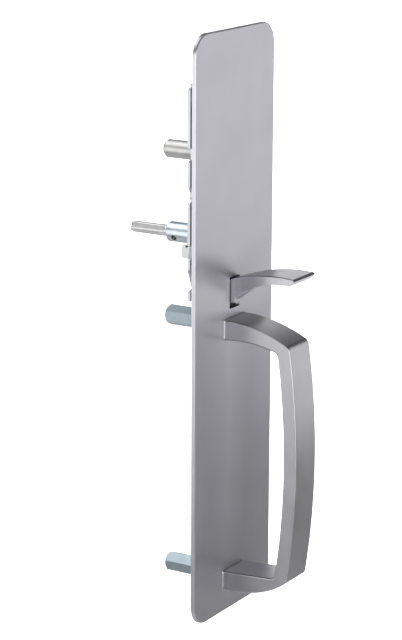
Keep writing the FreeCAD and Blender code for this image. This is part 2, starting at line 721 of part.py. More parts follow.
def guide_slot(z):
    """The slot in the slide round one guide, for the rest position and the lift above it."""
    radius = GUIDE_D / 2 + 0.15
    high = z + TOUCH
    low = z - LIFT - TOUCH
    ends = [rod(GUIDE_X, h, SLIDE_Y - 1, SLIDE_BACK_Y + 1, radius) for h in (low, high)]
    middle = box(GUIDE_X - radius, GUIDE_X + radius, SLIDE_Y - 1, SLIDE_BACK_Y + 1, low, high)
    return fused([middle] + ends)


def drive_pin_z():
    """Height of the drive pin at rest."""
    return -LIFT / 2


def lift_slide():
    outline = [
        (SLIDE_LEFT, SLIDE_TOP),
        (SLIDE_RIGHT, SLIDE_TOP),
        (SLIDE_RIGHT, SLIDE_STEP_Z),
        (FOOT_HALF_W, SLIDE_STEP_Z),
        (FOOT_HALF_W, SLIDE_BOTTOM),
        (SLIDE_LEFT, SLIDE_BOTTOM),
    ]
    plate = sheet(outline, SLIDE_Y, SLIDE_BACK_Y)
    corners = edges_along(plate, Vector(0, 1, 0), lambda c: c.z > SLIDE_TOP - 1 or c.x < SLIDE_LEFT + 1)
    plate = plate.makeFillet(SLIDE_CORNER_R, corners)
    foot_back = NOSE_Y + FOOT_PAST_NOSE
    foot_top = SLIDE_BOTTOM + SLIDE_T
    foot = box(-FOOT_HALF_W, FOOT_HALF_W, SLIDE_Y, foot_back, SLIDE_BOTTOM, foot_top)
    foot = foot.makeFillet(1.5, edges_along(foot, Vector(0, 0, 1), lambda c: c.y > NOSE_Y))
    tab = box(SLIDE_LEFT, SLIDE_LEFT + SLIDE_T, SLIDE_Y, TAB_BACK_Y, TAB_TOP - TAB_H, TAB_TOP)
    tab = tab.makeFillet(1.0, edges_along(tab, Vector(1, 0, 0), lambda c: c.y > TAB_BACK_Y - 1))
    pin_hole = rod(-ARM_R, drive_pin_z(), SLIDE_Y - 1, SLIDE_BACK_Y + 1, DRIVE_PIN_D / 2 + SEAT)
    return fused([plate, foot, tab]).cut([pin_hole] + [guide_slot(z) for z in GUIDE_HEIGHTS])


def drive_pin():
    back = ARM_Y + ARM_T
    shank = rod(-ARM_R, drive_pin_z(), SLIDE_Y, back - 0.4, DRIVE_PIN_D / 2)
    tip = cone(-ARM_R, drive_pin_z(), back - 0.4, back, DRIVE_PIN_D / 2, DRIVE_PIN_D / 2 - 0.4)
    return fused([shank, tip])


def slide_guides():
    made = []
    for z in GUIDE_HEIGHTS:
        tenon = rod(GUIDE_X, z, CHASSIS_GAP, CHASSIS_BACK_Y, GUIDE_TENON_D / 2)
        collar = rod(GUIDE_X, z, CHASSIS_BACK_Y, SLIDE_Y - PASS, GUIDE_HEAD_R)
        shoulder = rod(GUIDE_X, z, SLIDE_Y - PASS, SLIDE_BACK_Y + PASS, GUIDE_D / 2)
        head_y = SLIDE_BACK_Y + PASS
        head = rod(GUIDE_X, z, head_y, head_y + GUIDE_HEAD_T, GUIDE_HEAD_R)
        crown = [e for e in head.Edges if abs(e.BoundBox.YMin - head_y - GUIDE_HEAD_T) < 1e-6]
        made.append(fused([tenon, collar, shoulder, head.makeFillet(0.7, crown)]))
    return made


def bushing_r():
    """Outer radius of the bushing where it sits in the chassis."""
    return BARREL_R + RUN + BUSHING_WALL


def hub_bushing():
    flange_r = BARREL_R + RUN + BUSHING_FLANGE_W
    flange_back = CHASSIS_BACK_Y + BUSHING_FLANGE_T
    sleeve = rod(0, 0, CHASSIS_GAP, CHASSIS_BACK_Y, bushing_r())
    flange = rod(0, 0, CHASSIS_BACK_Y, flange_back, flange_r)
    nose = rod(0, 0, flange_back, ARM_Y - PASS, BUSHING_NOSE_R)
    bore = rod(0, 0, CHASSIS_GAP, ARM_Y, BARREL_R + RUN)
    return fused([sleeve, flange, nose]).cut(bore)


def turned(shape, degrees):
    """The shape turned about the lift axis."""
    copy = shape.copy()
    copy.rotate(Vector(0, 0, 0), Vector(0, 1, 0), degrees)
    return copy


def tailpiece_pin_y():
    return BARREL_END_Y - TAILPIECE_PIN_FROM_END


def pin_rod(half_length, radius):
    """A cylinder across the lift axis, as the tailpiece pin lies."""
    base = Vector(0, tailpiece_pin_y(), -half_length)
    upright = Part.makeCylinder(radius, 2 * half_length, base, Vector(0, 0, 1))
    return turned(upright, TAILPIECE_PIN_TILT)


def ring_y():
    """Front face of the snap ring behind the arm."""
    return ARM_Y + ARM_T + TOUCH


def lift_barrel():
    flange_y = CHASSIS_GAP - PASS - BARREL_FLANGE_T
    rim_y = BARREL_END_Y - BARREL_CHAMFER
    flange = rod(0, 0, flange_y, flange_y + BARREL_FLANGE_T, BARREL_FLANGE_R)
    body = rod(0, 0, flange_y, rim_y, BARREL_R)
    rim = cone(0, 0, rim_y, BARREL_END_Y, BARREL_R, BARREL_R - BARREL_CHAMFER)
    bore = rod(0, 0, BARREL_END_Y - SHANK_DEPTH - 1, BARREL_END_Y, TAILPIECE_W / 2 + 0.15)
    groove = rod(0, 0, ring_y(), ring_y() + RING_T, BARREL_R + 1)
    groove = groove.cut(rod(0, 0, ring_y(), ring_y() + RING_T, BARREL_R - RING_GROOVE))
    cross_hole = pin_rod(BARREL_R * 2, TAILPIECE_PIN_D / 2 + SEAT)
    return fused([flange, body, rim]).cut([bore, groove, cross_hole])


def hub_arm():
    ring = rod(0, 0, ARM_Y, ARM_Y + ARM_T, BARREL_R + ARM_RING_WALL)
    reach = box(-ARM_END_R + ARM_W / 2, 0, ARM_Y, ARM_Y + ARM_T, -ARM_W / 2, ARM_W / 2)
    end = rod(-ARM_END_R + ARM_W / 2, 0, ARM_Y, ARM_Y + ARM_T, ARM_W / 2)
    bore = rod(0, 0, ARM_Y, ARM_Y + ARM_T, BARREL_R + SEAT)
    half = DRIVE_PIN_D / 2 + DRIVE_PIN_CLEARANCE
    slot_root = ARM_R - PASS
    slot = box(-ARM_END_R - 1, -slot_root, ARM_Y, ARM_Y + ARM_T, -half, half)
    slot_end = rod(-slot_root, 0, ARM_Y, ARM_Y + ARM_T, half)
    arm = fused([ring, reach, end]).cut([bore, slot, slot_end])
    arm.rotate(Vector(0, 0, 0), Vector(0, 1, 0), -ARM_SWING / 2)
    return arm


def hub_ring():
    inner = BARREL_R - RING_GROOVE + SEAT
    return split_ring(0, 0, ring_y(), ring_y() + RING_T, inner, BARREL_R + RING_WALL, RING_OPENING)


def spring_r():
    """Mean radius of the return spring's coil."""
    return BARREL_R + SPRING_CLEARANCE + SPRING_WIRE_D / 2


def spring_y():
    """Where the coil starts, behind the snap ring."""
    return ring_y() + RING_T + 1.0 + SPRING_WIRE_D / 2


def spring_end_y():
    """The back of the coil's last turn."""
    return spring_y() + SPRING_PITCH * (SPRING_TURNS + 0.5) + SPRING_WIRE_D / 2


def anchor_z():
    """Height of the spring anchor, level with the top of the slide's tab."""
    return TAB_TOP - ANCHOR_D / 2


def spring_anchor():
    front = rod(ANCHOR_X, anchor_z(), CHASSIS_GAP, CHASSIS_BACK_Y, ANCHOR_D / 2)
    back_y = spring_end_y() + PASS
    pin = rod(ANCHOR_X, anchor_z(), CHASSIS_BACK_Y, back_y, ANCHOR_D / 2)
    collar = rod(ANCHOR_X, anchor_z(), CHASSIS_BACK_Y, CHASSIS_BACK_Y + 1.5, ANCHOR_D / 2 + 1.5)
    head = rod(ANCHOR_X, anchor_z(), back_y, back_y + 1.2, ANCHOR_D / 2 + 1.0)
    return fused([front, pin, collar, head])


def spring_leg(x, z, reach):
    """A spring leg that passes reach above a point: its angle on the coil, and where it passes."""
    swing = math.acos((spring_r() - reach) / math.hypot(x, z))
    towards = math.atan2(z, x)
    angle = towards - swing if x < 0 else towards + swing
    passes = Vector(x + reach * math.cos(angle), 0, z + reach * math.sin(angle))
    return angle, passes


def hub_return_spring():
    """A torsion spring whose legs press down on the slide's tab and on the anchor."""
    radius = spring_r()
    wire_r = SPRING_WIRE_D / 2
    start, left = spring_leg(SLIDE_LEFT, TAB_TOP, wire_r + TOUCH)
    end, right = spring_leg(ANCHOR_X, anchor_z(), ANCHOR_D / 2 + wire_r + TOUCH)
    turned = start - end + 2 * math.pi * (SPRING_TURNS + 1)
    slope = SPRING_PITCH / (2 * math.pi * radius)
    height = slope * radius * turned
    helix = Part.makeHelix(SPRING_PITCH, height, radius)
    helix.rotate(Vector(0, 0, 0), Vector(0, 0, 1), -math.degrees(start))
    helix.rotate(Vector(0, 0, 0), Vector(1, 0, 0), -90)
    helix.translate(Vector(0, spring_y(), 0))
    tips = []
    coil_ends = []
    for angle, passes, y, way in ((start, left, 0, -1), (end, right, height, 1)):
        coil_end = Vector(radius * math.cos(angle), spring_y() + y, radius * math.sin(angle))
        flat = passes + Vector(0, coil_end.y, 0) - coil_end
        run = flat.Length + SPRING_LEG_PAST
        tips.append(coil_end + flat.normalize() * run + Vector(0, way * slope * run, 0))
        coil_ends.append(coil_end)
    spine = Part.Wire([line(tips[0], coil_ends[0])] + helix.Edges + [line(coil_ends[1], tips[1])])
    section = Part.makeCircle(wire_r, tips[0], coil_ends[0] - tips[0])
    return spine.makePipeShell([Part.Wire(section)], True, True)


def tailpiece():
    half = TAILPIECE_W / 2
    fin = TAILPIECE_FIN_T / 2
    flute_y = BARREL_END_Y + FLUTES_FROM_BARREL
    shank = rod(0, 0, BARREL_END_Y - SHANK_DEPTH, flute_y, half)
    level = box(-half, half, flute_y, TAILPIECE_END_Y, -fin, fin)
    upright = box(-fin, fin, flute_y, TAILPIECE_END_Y, -half, half)
    envelope = chamfered_rod(0, 0, flute_y - 1, TAILPIECE_END_Y, half, 0.5)
    fins = turned(fused([level, upright]).common(envelope), -TAILPIECE_LEAN)
    hole = pin_rod(TAILPIECE_W, TAILPIECE_PIN_D / 2 + SEAT)
    return fused([shank, fins]).cut(hole)


def tailpiece_pin():
    return pin_rod(BARREL_R - TAILPIECE_PIN_INSET, TAILPIECE_PIN_D / 2)


def nodes():
    """Every piece by name, as a list of its solids."""
    return {
        "escutcheon_plate": [escutcheon_plate()],
        "pull_handle": [pull_handle()],
        "handle_studs": handle_studs(),
        "upper_post_stud": upper_post_stud(),
        "upper_post": [round_post(UPPER_POST_RISE, UPPER_POST_REACH)],
        "middle_post": [hexagonal_post(MIDDLE_POST_Z, LOWER_POST_REACH, 0)],
        "bottom_post": [hexagonal_post(BOTTOM_POST_Z, LOWER_POST_REACH, BOTTOM_POST_TURN)],
        "post_lock_washers": post_lock_washers(),
        "chassis_plate": [chassis_plate()],
        "chassis_standoffs": chassis_standoffs(),
        "chassis_washers": chassis_washers(),
        "chassis_screws": chassis_screws(),
        "thumb_bracket": [thumb_bracket()],
        "bracket_studs": bracket_studs(),
        "bracket_nuts": bracket_nuts(),
        "thumb_lever": [thumb_lever()],
        "thumb_pivot_pin": [thumb_pivot_pin()],
        "pivot_clips": pivot_clips(),
        "lever_bumper": [lever_bumper()],
        "lift_slide": [lift_slide()],
        "drive_pin": [drive_pin()],
        "slide_guides": slide_guides(),
        "hub_bushing": [hub_bushing()],
        "lift_barrel": [lift_barrel()],
        "hub_arm": [hub_arm()],
        "hub_ring": [hub_ring()],
        "hub_return_spring": [hub_return_spring()],
        "spring_anchor": [spring_anchor()],
        "tailpiece": [tailpiece()],
        "tailpiece_pin": [tailpiece_pin()],
    }


def main():
    os.makedirs("parts", exist_ok=True)
    for name, solids in nodes().items():
        shape = solids[0] if len(solids) == 1 else Part.makeCompound(solids)
        shape.exportStep(f"parts/{name}.step")
        print(name, len(shape.Solids), shape.isValid(), round(shape.Volume, 1))
    print("lift", round(LIFT, 4), "press degrees", round(math.degrees(2 * HALF_PRESS), 4))


main()
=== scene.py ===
import math

import bpy
from mathutils import Matrix, Vector


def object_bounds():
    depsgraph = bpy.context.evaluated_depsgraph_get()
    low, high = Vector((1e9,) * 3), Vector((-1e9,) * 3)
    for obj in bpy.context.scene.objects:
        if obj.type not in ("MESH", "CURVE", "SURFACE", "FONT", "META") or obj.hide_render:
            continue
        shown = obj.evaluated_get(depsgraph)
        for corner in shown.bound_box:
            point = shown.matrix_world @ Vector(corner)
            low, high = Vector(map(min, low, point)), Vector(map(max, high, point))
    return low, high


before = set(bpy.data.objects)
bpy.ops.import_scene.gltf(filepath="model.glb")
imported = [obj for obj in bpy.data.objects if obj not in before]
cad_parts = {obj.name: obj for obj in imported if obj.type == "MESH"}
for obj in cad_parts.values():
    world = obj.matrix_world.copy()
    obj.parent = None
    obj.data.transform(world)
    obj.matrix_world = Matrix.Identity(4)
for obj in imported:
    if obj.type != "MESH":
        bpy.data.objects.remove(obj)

CAD_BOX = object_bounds()

bl_info = {
    "name": "Exit Device Outside Trim",
    "version": (1, 0, 0),
    "blender": (4, 5, 0),
    "location": "View3D > Sidebar > Trim",
    "description": "Finishes and stages a thumb-lever and pull-handle trim",
    "category": "Object",
}

MM = 0.001

# Tone in linear light that a milky plating moves towards
MILK_TONE = 0.92
# Length in millimetres of a lathe mark or a drawing line, far longer than its width
LINE_LENGTH = 40.0

# The camera: metres, and degrees of azimuth, elevation and roll
CAMERA_PLACE = (-1.095235, -0.651739, 0.278262)
CAMERA_ANGLES = (-58.4573, 14.3889, 0.2066)
SENSOR_WIDTH = 36.0
CAMERA_CLIP = (0.01, 100.0)

# The stage, in metres and degrees
FLOOR_HALF_WIDTH = 18.0
PLATE_MIDDLE = (0, 0, -0.05)
FLOOR_BOX_X, FLOOR_BOX_Y = 8.0, 4.9
FLOOR_BOX_HEIGHT = 0.6
FLOOR_BOX_SIZE = (14.0, 4.4)
FLOOR_BOX_SPREAD = 80.0


def linear(code):
    """A linear colour from an sRGB hex code."""
    channels = [int(code[i : i + 2], 16) / 255 for i in (1, 3, 5)]
    return [c / 12.92 if c <= 0.04045 else ((c + 0.055) / 1.055) ** 2.4 for c in channels]


def tint(name, description, code):
    """A colour property that starts from an sRGB hex code."""
    return bpy.props.FloatVectorProperty(
        name=name, description=description, subtype="COLOR", size=3, min=0, max=1, default=linear(code)
    )


def length(name, description, millimetres):
    """A length property given in millimetres and kept in metres."""
    return bpy.props.FloatProperty(
        name=name, description=description, unit="LENGTH", min=0, precision=5, default=millimetres * MM
    )


def amount(name, description, value, high=1.0):
    """A plain number from nothing to high."""
    return bpy.props.FloatProperty(name=name, description=description, min=0, max=high, default=value)


class TrimFinishes(bpy.types.PropertyGroup):
    """Colours and grain of the metals and the rubber."""

    plate_tint: tint("Plate", "Satin stainless of the escutcheon plate", "#b4b3ba")
    cast_tint: tint("Casting", "Satin plating on the handle and the lever", "#a6a5a9")
    zinc_tint: tint("Zinc", "Clear zinc plating on the barrel and the fasteners", "#a9b6bd")
    hex_tint: tint("Posts", "Clear zinc plating on the hexagonal posts", "#788891")
    nickel_tint: tint("Nickel", "Nickel plating on the upper post", "#b4b4b3")
    # The tailpiece's nickel is set lighter than the upper post's nickel: painted light for the light it
    # catches from below.
    tailpiece_lit_tint: tint("Tailpiece", "Nickel plating on the tailpiece", "#cdcdcd")
    sheet_tint: tint("Sheet", "Zinc-plated sheet of the chassis and the slide", "#b2b5b8")
    # The bracket's near black is painted shade for the dark inside of the lever's slot.
    bracket_shade_tint: tint("Bracket", "Black coating of the thumb bracket", "#1d1d1f")
    # The pins' grey is darkened partly as painted shade for the barrel's cross-hole, where the tailpiece
    # pin sits.
    pin_shade_tint: tint("Pins", "Hardened pins, blackened and ground", "#6c6c6e")
    spring_tint: tint("Spring steel", "Oil-tempered wire and rings", "#66635f")
    bronze_tint: tint("Bronze", "Oil-filled sintered bushing", "#a98455")
    rubber_tint: tint("Rubber", "Moulded nitrile pad", "#1b1b1c")
    brush_spacing: length("Brush spacing", "Distance between brushing lines on the plate", 0.35)
    blast_grain: length("Blast grain", "Size of the blasted grain on the castings", 0.30)
    turning_pitch: length("Turning pitch", "Distance between lathe marks on round pieces", 0.28)
    sheet_grain: length("Rolling grain", "Distance between rolling marks on sheet", 0.5)


class TrimStudio(bpy.types.PropertyGroup):
    """Light, floor and camera of the stage."""

    room: amount("Room", "Brightness of the room all round", 0.13, 5.0)
    right_box: amount("Right softbox", "Brightness of the softbox in front, on the right", 1.25, 50.0)
    left_box: amount("Left softbox", "Brightness of the softbox behind, on the left", 2.2, 50.0)
    side_box: amount("Side softbox", "Brightness of the softbox on the left", 2.2, 50.0)
    rear_box: amount("Rear softbox", "Brightness of the softbox behind, on the right", 1.3, 50.0)
    front_box: amount("Front softbox", "Brightness of the softbox beside the camera", 3.2, 50.0)
    top_box: amount("Top softbox", "Brightness of the softbox overhead", 2.6, 50.0)
    floor_box: amount("Floor softbox", "Brightness of the long softbox over the floor behind", 3.2, 50.0)
    floor_tone: tint("Floor", "Matt paper under the trim", "#f2f2f2")
    floor_drop: length("Floor drop", "Height of the trim above the floor", 1200.0)
    lens: amount("Lens", "Focal length in millimetres on a 36 mm sensor", 126.21, 500.0)


def fill(tree, node, inputs):
    """Fills or links the inputs of a node."""
    for key, value in inputs.items():
        if isinstance(value, bpy.types.NodeSocket):
            tree.links.new(value, node.inputs[key])
        else:
            node.inputs[key].default_value = value


def add(tree, kind, inputs=None, **settings):
    """Adds a node with its settings, and fills or links its inputs."""
    node = tree.nodes.new(kind)
    for key, value in settings.items():
        setattr(node, key, value)
    fill(tree, node, inputs or {})
    return node


def start_material(name):
    """A material with a Principled shader, and the socket for a place on the object in millimetres."""
    material = bpy.data.materials.new(name)
    material.use_nodes = True
    tree = material.node_tree
    tree.nodes.clear()
    shader = add(tree, "ShaderNodeBsdfPrincipled")
    add(tree, "ShaderNodeOutputMaterial", {"Surface": shader.outputs["BSDF"]})
    place = add(tree, "ShaderNodeTexCoord").outputs["Object"]
    in_mm = add(tree, "ShaderNodeVectorMath", {0: place, 1: (1 / MM,) * 3}, operation="MULTIPLY")
    return material, tree, shader, in_mm.outputs["Vector"]


def noise(tree, place, size, detail=2.0, roughness=0.5):
    """Noise whose grains measure size, one number or one per axis, in millimetres."""
    sizes = size if isinstance(size, (tuple, list)) else (size,) * 3
    scaled = add(tree, "ShaderNodeVectorMath", {0: place, 1: [1 / s for s in sizes]}, operation="MULTIPLY")
    inputs = {"Vector": scaled.outputs["Vector"], "Scale": 1.0, "Detail": detail, "Roughness": roughness}
    return add(tree, "ShaderNodeTexNoise", inputs).outputs["Fac"]


def spread(tree, value, low, high, start=0.3, end=0.7):
    """A value stretched from start..end to low..high."""
    inputs = {"Value": value, "From Min": start, "From Max": end, "To Min": low, "To Max": high}
    return add(tree, "ShaderNodeMapRange", inputs, clamp=True).outputs["Result"]


def shaded(tree, colour, brightness):
    """A colour made lighter and darker by a value about 1."""
    inputs = {"Color": (*colour, 1), "Value": brightness}
    return add(tree, "ShaderNodeHueSaturation", inputs).outputs["Color"]


def bumped(tree, heights, distance_mm):
    """A bump from heights of 0 to 1 that stand distance_mm tall."""
    inputs = {"Height": heights, "Distance": distance_mm * MM, "Strength": 1.0}
    return add(tree, "ShaderNodeBump", inputs).outputs["Normal"]


def mean(tree, a, b):
    """The mean of two values."""
    total = add(tree, "ShaderNodeMath", {0: a, 1: b}, operation="ADD").outputs["Value"]
    half = add(tree, "ShaderNodeMath", {0: total, 1: 0.5}, operation="MULTIPLY")
    return half.outputs["Value"]


def brushed_stainless(finishes):
    """Rolled stainless brushed along the plate's length, then glass-bead dulled."""
    # The eye sees a soft grey sheen with faint upright lines, and no mirror image.
    material, tree, shader, place = start_material("brushed_stainless_plate")
    spacing = finishes.brush_spacing / MM
    lines = noise(tree, place, (spacing, spacing, spacing * 60), 3.0, 0.6)
    grain = noise(tree, place, spacing * 0.9, 2.0)
    cloud = noise(tree, place, 38.0, 2.0)
    tone = mean(tree, lines, cloud)
    across = add(tree, "ShaderNodeTangent", direction_type="RADIAL", axis="Z").outputs["Tangent"]
    fill(
        tree,
        shader,
        {
            "Base Color": shaded(tree, finishes.plate_tint, spread(tree, tone, 0.95, 1.05, 0.35, 0.65)),
            "Metallic": 1.0,
            "Roughness": spread(tree, mean(tree, lines, grain), 0.36, 0.48, 0.35, 0.65),
            "Anisotropic": 0.75,
            "Tangent": across,
            "Normal": bumped(tree, mean(tree, lines, grain), 0.012),
        },
    )
    return material


def satin_casting(finishes):
    """Die-cast zinc, blasted and satin nickel plated."""
    # The eye sees a bright, soft sheen with an even fine grain and slightly cloudy flats.
    material, tree, shader, place = start_material("satin_nickel_casting")
    grain_mm = finishes.blast_grain / MM
    grain = noise(tree, place, grain_mm, 2.0)
    cloud = noise(tree, place, 16.0, 3.0)
    tone = spread(tree, mean(tree, grain, cloud), 0.95, 1.05)
    fill(
        tree,
        shader,
        {
            "Base Color": shaded(tree, finishes.cast_tint, tone),
            "Metallic": 1.0,
            "Roughness": spread(tree, cloud, 0.30, 0.38),
            "Normal": bumped(tree, grain, 0.010),
        },
    )
    return material


def plated_bar(name, colour, grain, low, high, milk=0.0):
    """A bar along Y, lathe-turned or cold-drawn, and then plated."""
    # The eye sees fine rings on turned bar and fine lines along drawn bar, milky under clear zinc.
    material, tree, shader, place = start_material(name)
    rings = noise(tree, place, grain, 2.0)
    cloud = noise(tree, place, 5.0, 3.0)
    stain = noise(tree, place, (9.0, 5.0, 9.0), 3.0)
    pale = [c + (MILK_TONE - c) * milk for c in colour]
    fill(
        tree,
        shader,
        {
            "Base Color": shaded(tree, pale, spread(tree, mean(tree, cloud, stain), 0.88, 1.06)),
            "Metallic": 1.0,
            "Roughness": spread(tree, mean(tree, rings, cloud), low, high),
            "Normal": bumped(tree, rings, 0.015),
        },
    )
    return material


def bar_grains(finishes):
    """The grain sizes of rings round a turned bar and of lines along a drawn one."""
    pitch = finishes.turning_pitch / MM
    return (LINE_LENGTH, pitch, LINE_LENGTH), (pitch, LINE_LENGTH, pitch)


def plated_sheet(finishes):
    """Cold-rolled sheet, punched, bent and zinc plated."""
    # The eye sees straight rolling marks and patches of brighter and duller plating.
    material, tree, shader, place = start_material("zinc_plated_sheet")
    spacing = finishes.sheet_grain / MM
    lines = noise(tree, place, (spacing, spacing, spacing * 40), 2.0)
    patches = noise(tree, place, 12.0, 3.0, 0.6)
    fill(
        tree,
        shader,
        {
            "Base Color": shaded(tree, finishes.sheet_tint, spread(tree, patches, 0.86, 1.06)),
            "Metallic": 1.0,
            "Roughness": spread(tree, mean(tree, lines, patches), 0.28, 0.46),
            "Normal": bumped(tree, lines, 0.010),
        },
    )
    return material


def black_painted_shade(finishes):
    """Pressed sheet coloured near black as painted shade for the dark inside of the lever's slot."""
    # The eye sees near black, which is painted shade, with a low sheen and a slight orange-peel texture.
    material, tree, shader, place = start_material("black_sheet_painted_shade")
    peel = noise(tree, place, 0.8, 2.0)
    dust = noise(tree, place, 4.0, 3.0)
    fill(
        tree,
        shader,
        {
            "Base Color": shaded(tree, finishes.bracket_shade_tint, spread(tree, dust, 0.8, 1.3)),
            "IOR": 1.5,
            "Roughness": spread(tree, dust, 0.38, 0.52),
            "Normal": bumped(tree, peel, 0.01),
        },
    )
    return material


def ground_pin(finishes):
    """Hardened steel pins, centreless ground and lightly oiled."""
    # The eye sees a darker grey with a tight highlight; the darker grey is partly the steel's own and
    # partly painted shade, so the pin in the barrel's cross-hole reads as a shaded recess.
    material, tree, shader, place = start_material("ground_steel_pin_painted_shade")
    rings = noise(tree, place, 0.2, 2.0)
    oil = noise(tree, place, 3.0, 3.0)
    fill(
        tree,
        shader,
        {
            "Base Color": shaded(tree, finishes.pin_shade_tint, spread(tree, oil, 0.85, 1.05)),
            "Metallic": 1.0,
            "Roughness": spread(tree, mean(tree, rings, oil), 0.18, 0.32),
            "Normal": bumped(tree, rings, 0.004),
        },
    )
    return material


def tempered_steel(finishes):
    """Oil-tempered spring wire and stamped spring rings."""
    # The eye sees a brown-grey scale that is a little worn where pieces rub.
    material, tree, shader, place = start_material("oil_tempered_spring_steel")
    scale = noise(tree, place, 0.5, 3.0)
    patches = noise(tree, place, 4.0, 3.0)
    worn = spread(tree, mean(tree, scale, patches), 0.7, 1.25)
    fill(
        tree,
        shader,
        {
            "Base Color": shaded(tree, finishes.spring_tint, worn),
            "Metallic": 1.0,
            "Roughness": spread(tree, patches, 0.34, 0.5),
            "Normal": bumped(tree, scale, 0.008),
        },
    )
    return material


def sintered_bronze(finishes):
    """Pressed and sintered bronze powder, filled with oil."""
    # The eye sees a dull warm metal with fine dark pores.
    material, tree, shader, place = start_material("sintered_bronze")
    pores = add(tree, "ShaderNodeTexVoronoi", {"Vector": place, "Scale": 3.0}).outputs["Distance"]
    fill(
        tree,
        shader,
        {
            "Base Color": shaded(tree, finishes.bronze_tint, spread(tree, pores, 0.6, 1.05, 0.0, 0.35)),
            "Metallic": 1.0,
            "Roughness": spread(tree, pores, 0.6, 0.42, 0.0, 0.5),
            "Normal": bumped(tree, pores, 0.02),
        },
    )
    return material


def nitrile_rubber(finishes):
    """Moulded nitrile rubber, matt from the mould."""
    # The eye sees near black with a dusty bloom.
    material, tree, shader, place = start_material("nitrile_rubber")
    bloom = noise(tree, place, 1.5, 3.0)
    grain = noise(tree, place, 0.25, 2.0)
    fill(
        tree,
        shader,
        {
            "Base Color": shaded(tree, finishes.rubber_tint, spread(tree, bloom, 0.8, 1.6)),
            "IOR": 1.52,
            "Roughness": spread(tree, grain, 0.6, 0.8),
            "Normal": bumped(tree, grain, 0.02),
        },
    )
    return material


def matt_paper(studio):
    """White background paper."""
    # The eye sees an even pale sheet with no sheen.
    material, tree, shader, place = start_material("matt_background_paper")
    fibre = noise(tree, place, 3.0, 2.0)
    fill(
        tree,
        shader,
        {
            "Base Color": shaded(tree, studio.floor_tone, spread(tree, fibre, 0.995, 1.0)),
            "Roughness": 0.95,
            "Specular IOR Level": 0.1,
        },
    )
    return material


def dress(names, material):
    """Gives CAD nodes a material in every slot that they have."""
    for name in names:
        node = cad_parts[name]
        if not node.material_slots:
            node.data.materials.append(material)
        for slot in node.material_slots:
            slot.material = material


class TRIM_OT_plate(bpy.types.Operator):
    """Finishes the escutcheon plate"""

    bl_idname = "trim.plate"
    bl_label = "Escutcheon plate"

    def execute(self, context):
        dress(["escutcheon_plate"], brushed_stainless(context.scene.trim_finishes))
        return {"FINISHED"}


class TRIM_OT_castings(bpy.types.Operator):
    """Finishes the pull handle and the thumb lever"""

    bl_idname = "trim.castings"
    bl_label = "Handle and lever"

    def execute(self, context):
        dress(["pull_handle", "thumb_lever"], satin_casting(context.scene.trim_finishes))
        return {"FINISHED"}


class TRIM_OT_zinc_pieces(bpy.types.Operator):
    """Finishes the lower posts, the barrel, the studs and the nuts in clear zinc"""

    bl_idname = "trim.zinc_pieces"
    bl_label = "Zinc-plated pieces"

    def execute(self, context):
        finishes = context.scene.trim_finishes
        rings, lines = bar_grains(finishes)
        drawn = plated_bar("clear_zinc_drawn_bar", finishes.hex_tint, lines, 0.3, 0.46, 0.1)
        dress(["middle_post", "bottom_post"], drawn)
        turned = plated_bar("clear_zinc_turned_bar", finishes.zinc_tint, rings, 0.26, 0.42, 0.15)
        dress(["lift_barrel"], turned)
        dress(["handle_studs", "upper_post_stud", "bracket_studs"], turned)
        dress(["bracket_nuts", "chassis_screws"], turned)
        return {"FINISHED"}


class TRIM_OT_nickel_pieces(bpy.types.Operator):
    """Finishes the upper post, the standoffs and the tailpiece in nickel"""

    bl_idname = "trim.nickel_pieces"
    bl_label = "Nickel-plated pieces"

    def execute(self, context):
        finishes = context.scene.trim_finishes
        rings, lines = bar_grains(finishes)
        turned = plated_bar("nickel_plated_turned_bar", finishes.nickel_tint, rings, 0.34, 0.5)
        dress(["upper_post", "chassis_standoffs"], turned)
        # The tailpiece's lighter nickel tint is painted light.
        drawn = plated_bar("nickel_plated_drawn_bar_painted_light", finishes.tailpiece_lit_tint, lines, 0.3, 0.45)
        dress(["tailpiece"], drawn)
        return {"FINISHED"}


class TRIM_OT_sheet_pieces(bpy.types.Operator):
    """Finishes the chassis, the slide and the hub's arm"""

    bl_idname = "trim.sheet_pieces"
    bl_label = "Sheet pieces"

    def execute(self, context):
        dress(["chassis_plate", "lift_slide", "hub_arm"], plated_sheet(context.scene.trim_finishes))
        return {"FINISHED"}


class TRIM_OT_bracket(bpy.types.Operator):
    """Finishes the bracket that carries the thumb lever"""

    bl_idname = "trim.bracket"
    bl_label = "Thumb bracket"

    def execute(self, context):
        # The near-black bracket is painted shade in the lever's slot.
        dress(["thumb_bracket"], black_painted_shade(context.scene.trim_finishes))
        return {"FINISHED"}


class TRIM_OT_pins(bpy.types.Operator):
    """Finishes the pins and the guides"""

    bl_idname = "trim.pins"
    bl_label = "Pins and guides"

    def execute(self, context):
        pins = ["thumb_pivot_pin", "drive_pin", "slide_guides", "spring_anchor", "tailpiece_pin"]
        dress(pins, ground_pin(context.scene.trim_finishes))
        return {"FINISHED"}


class TRIM_OT_springs(bpy.types.Operator):
    """Finishes the return spring, the clips and the spring washers"""

    bl_idname = "trim.springs"
    bl_label = "Spring and rings"

    def execute(self, context):
        pieces = ["hub_return_spring", "hub_ring", "pivot_clips", "post_lock_washers", "chassis_washers"]
        dress(pieces, tempered_steel(context.scene.trim_finishes))
        return {"FINISHED"}


class TRIM_OT_bearings(bpy.types.Operator):
    """Finishes the hub's bushing and the lever's bumper"""

    bl_idname = "trim.bearings"
    bl_label = "Bushing and bumper"

    def execute(self, context):
        finishes = context.scene.trim_finishes
        dress(["hub_bushing"], sintered_bronze(finishes))
        dress(["lever_bumper"], nitrile_rubber(finishes))
        return {"FINISHED"}


